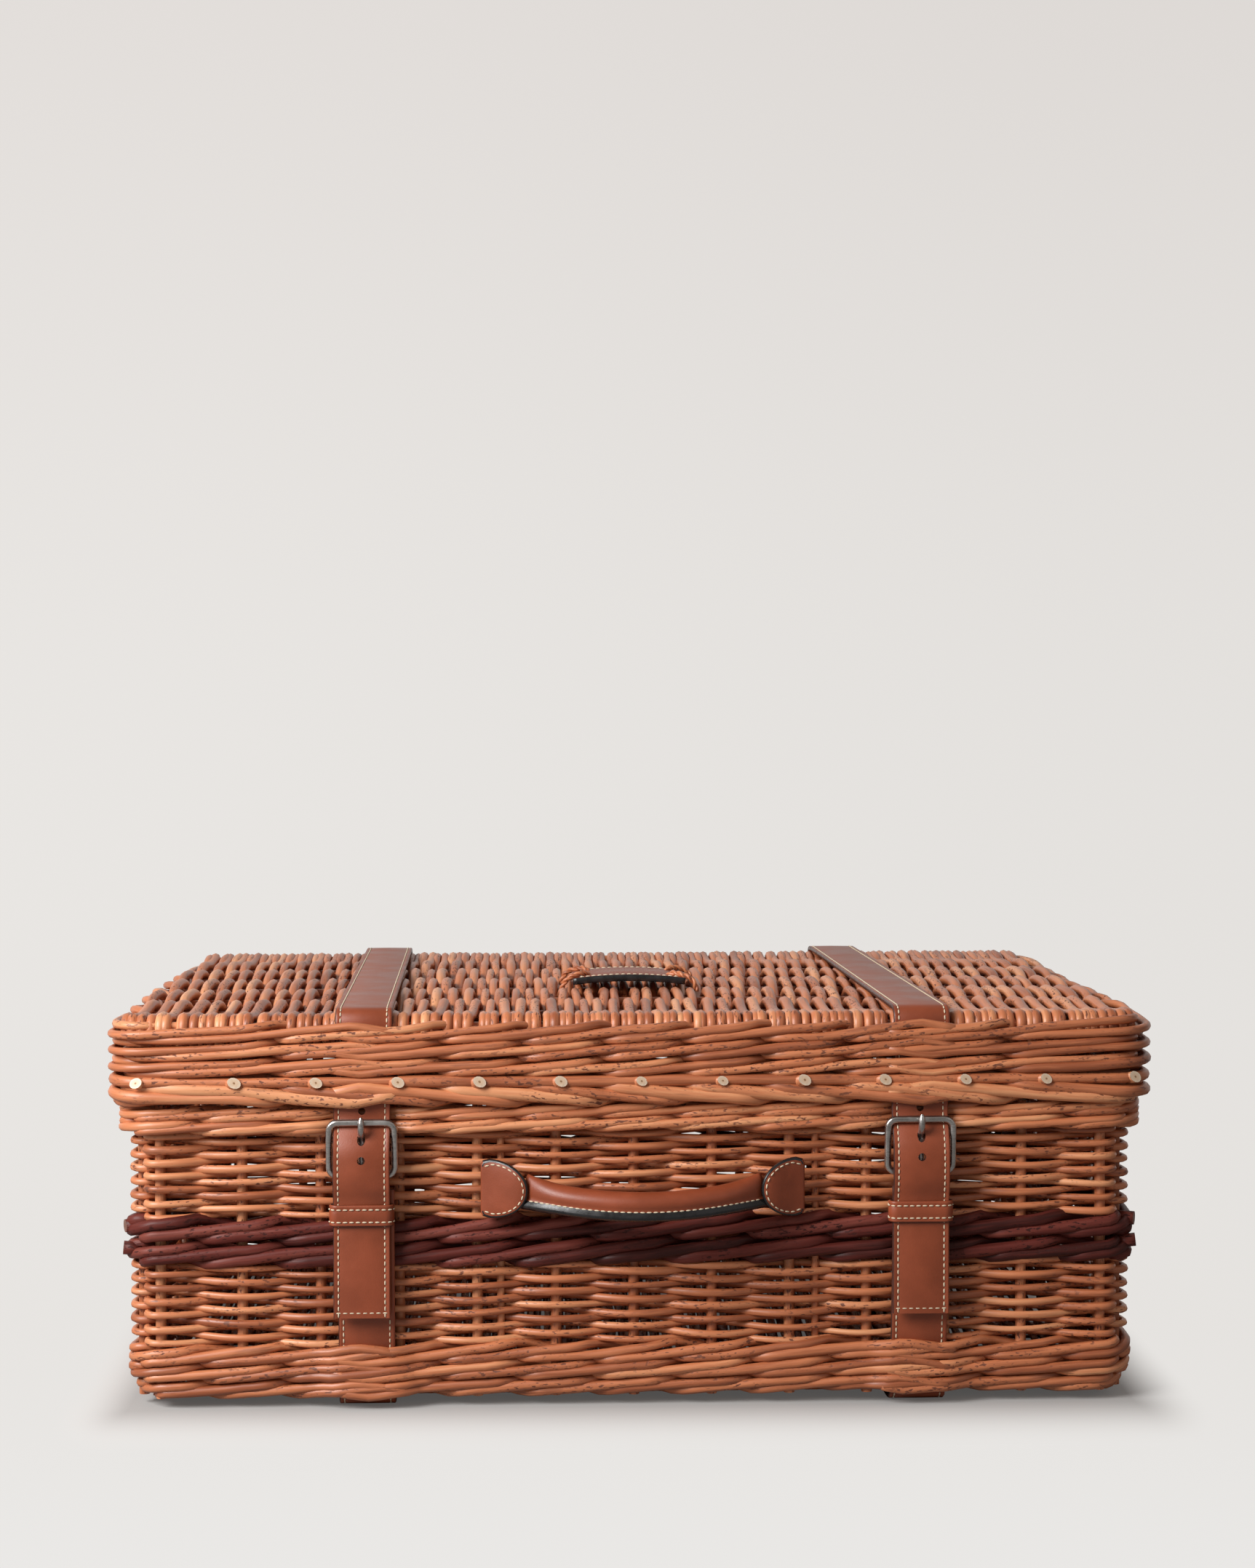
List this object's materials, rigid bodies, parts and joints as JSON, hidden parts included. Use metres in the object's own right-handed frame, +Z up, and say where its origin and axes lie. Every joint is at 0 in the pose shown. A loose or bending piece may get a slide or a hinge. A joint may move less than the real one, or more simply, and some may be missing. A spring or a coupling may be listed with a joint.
{
  "type": "wicker picnic hamper",
  "caption": "Closed rectangular willow hamper with a hinged lid, a dark woven band, stitched leather belts with buckles, a rolled leather handle and a blank label.",
  "frame": {"origin": "middle of the flat underside of the base, where the belts pass under it", "axes": "+X to the right along the width seen from the front, +Y towards the hinged back, +Z up"},
  "size_m": [0.562, 0.4212, 0.2212],
  "materials": {
    "willow_buff": "buff-dyed peeled willow, satin",
    "willow_dark": "dark stained willow, satin",
    "willow_stake": "buff willow stakes and sticks, satin",
    "willow_end": "cut willow ends, pale and matt",
    "leather_belt": "smooth tan bridle leather with cream stitching and dark painted edges",
    "leather_handle": "smooth tan leather, stitched, black painted seam edge",
    "leather_label": "grained tan leather with cream stitching and a thick black edge",
    "handle_core": "twisted cord core",
    "buckle_metal": "satin antique nickel"
  },
  "bodies": {
    "basket": {"base_panel": "willow_buff", "base_sticks": "willow_stake", "foot_wale": "willow_buff", "lower_siding": "willow_buff", "dark_band": "willow_dark", "upper_siding": "willow_buff", "top_border": "willow_buff", "corner_posts": "willow_stake", "stakes_front": "willow_stake", "stakes_back": "willow_stake", "stakes_left": "willow_stake", "stakes_right": "willow_stake", "liner_stakes": "willow_stake", "belt_lower_left": "leather_belt", "belt_lower_right": "leather_belt", "keeper_left": "leather_belt", "keeper_right": "leather_belt", "handle_tab_left": "leather_handle", "handle_tab_right": "leather_handle", "handle_anchors": "willow_stake", "hinge_loops_basket": "willow_buff"},
    "lid": {"lid_panel": "willow_buff", "lid_sticks": "willow_stake", "lid_wale": "willow_buff", "lid_border": "willow_buff", "lid_stakes": "willow_stake", "lid_rod_ends": "willow_end", "belt_lid_left": "leather_belt", "belt_lid_right": "leather_belt", "label": "leather_label", "label_ties": "willow_buff", "hinge_loops_lid": "willow_buff"},
    "tail_left": {"belt_tail_left": "leather_belt"},
    "tail_right": {"belt_tail_right": "leather_belt"},
    "frame_left": {"buckle_frame_left": "buckle_metal"},
    "frame_right": {"buckle_frame_right": "buckle_metal"},
    "pin_left": {"tongue_left": "buckle_metal"},
    "pin_right": {"tongue_right": "buckle_metal"},
    "handle": {"handle_grip": "leather_handle", "handle_core": "handle_core"}
  },
  "joints": [
    {"name": "lid_hinge", "type": "hinge", "parent": "basket", "child": "lid", "pos_m": [0, 0.1982, 0.1631], "axis": [-1, 0, 0], "range_deg": [0, 100], "deforming": ["belt_tail_left", "belt_tail_right"]},
    {"name": "tail_left_swing", "type": "hinge", "parent": "lid", "child": "tail_left", "pos_m": [-0.1432, -0.1897, 0.161], "axis": [-1, 0, 0], "range_deg": [-100, 0]},
    {"name": "frame_left_turn", "type": "hinge", "parent": "basket", "child": "frame_left", "pos_m": [-0.1432, -0.1916, 0.1263], "axis": [1, 0, 0], "range_deg": [0, 120]},
    {"name": "pin_left_turn", "type": "hinge", "parent": "basket", "child": "pin_left", "pos_m": [-0.1432, -0.1916, 0.1263], "axis": [1, 0, 0], "range_deg": [0, 125]},
    {"name": "tail_right_swing", "type": "hinge", "parent": "lid", "child": "tail_right", "pos_m": [0.1542, -0.1897, 0.161], "axis": [-1, 0, 0], "range_deg": [-100, 0]},
    {"name": "frame_right_turn", "type": "hinge", "parent": "basket", "child": "frame_right", "pos_m": [0.1542, -0.1916, 0.1263], "axis": [1, 0, 0], "range_deg": [0, 120]},
    {"name": "pin_right_turn", "type": "hinge", "parent": "basket", "child": "pin_right", "pos_m": [0.1542, -0.1916, 0.1263], "axis": [1, 0, 0], "range_deg": [0, 125]},
    {"name": "handle_swing", "type": "hinge", "parent": "basket", "child": "handle", "pos_m": [0.0055, -0.1946, 0.119], "axis": [-1, 0, 0], "range_deg": [0, 80]}
  ],
  "couplings": [
    {"joint": "tail_left_swing", "follows": "lid_hinge", "ratio": -1},
    {"joint": "frame_left_turn", "follows": "lid_hinge", "ratio": 1.2},
    {"joint": "pin_left_turn", "follows": "lid_hinge", "ratio": 1.25},
    {"joint": "tail_right_swing", "follows": "lid_hinge", "ratio": -1},
    {"joint": "frame_right_turn", "follows": "lid_hinge", "ratio": 1.2},
    {"joint": "pin_right_turn", "follows": "lid_hinge", "ratio": 1.25}
  ]
}
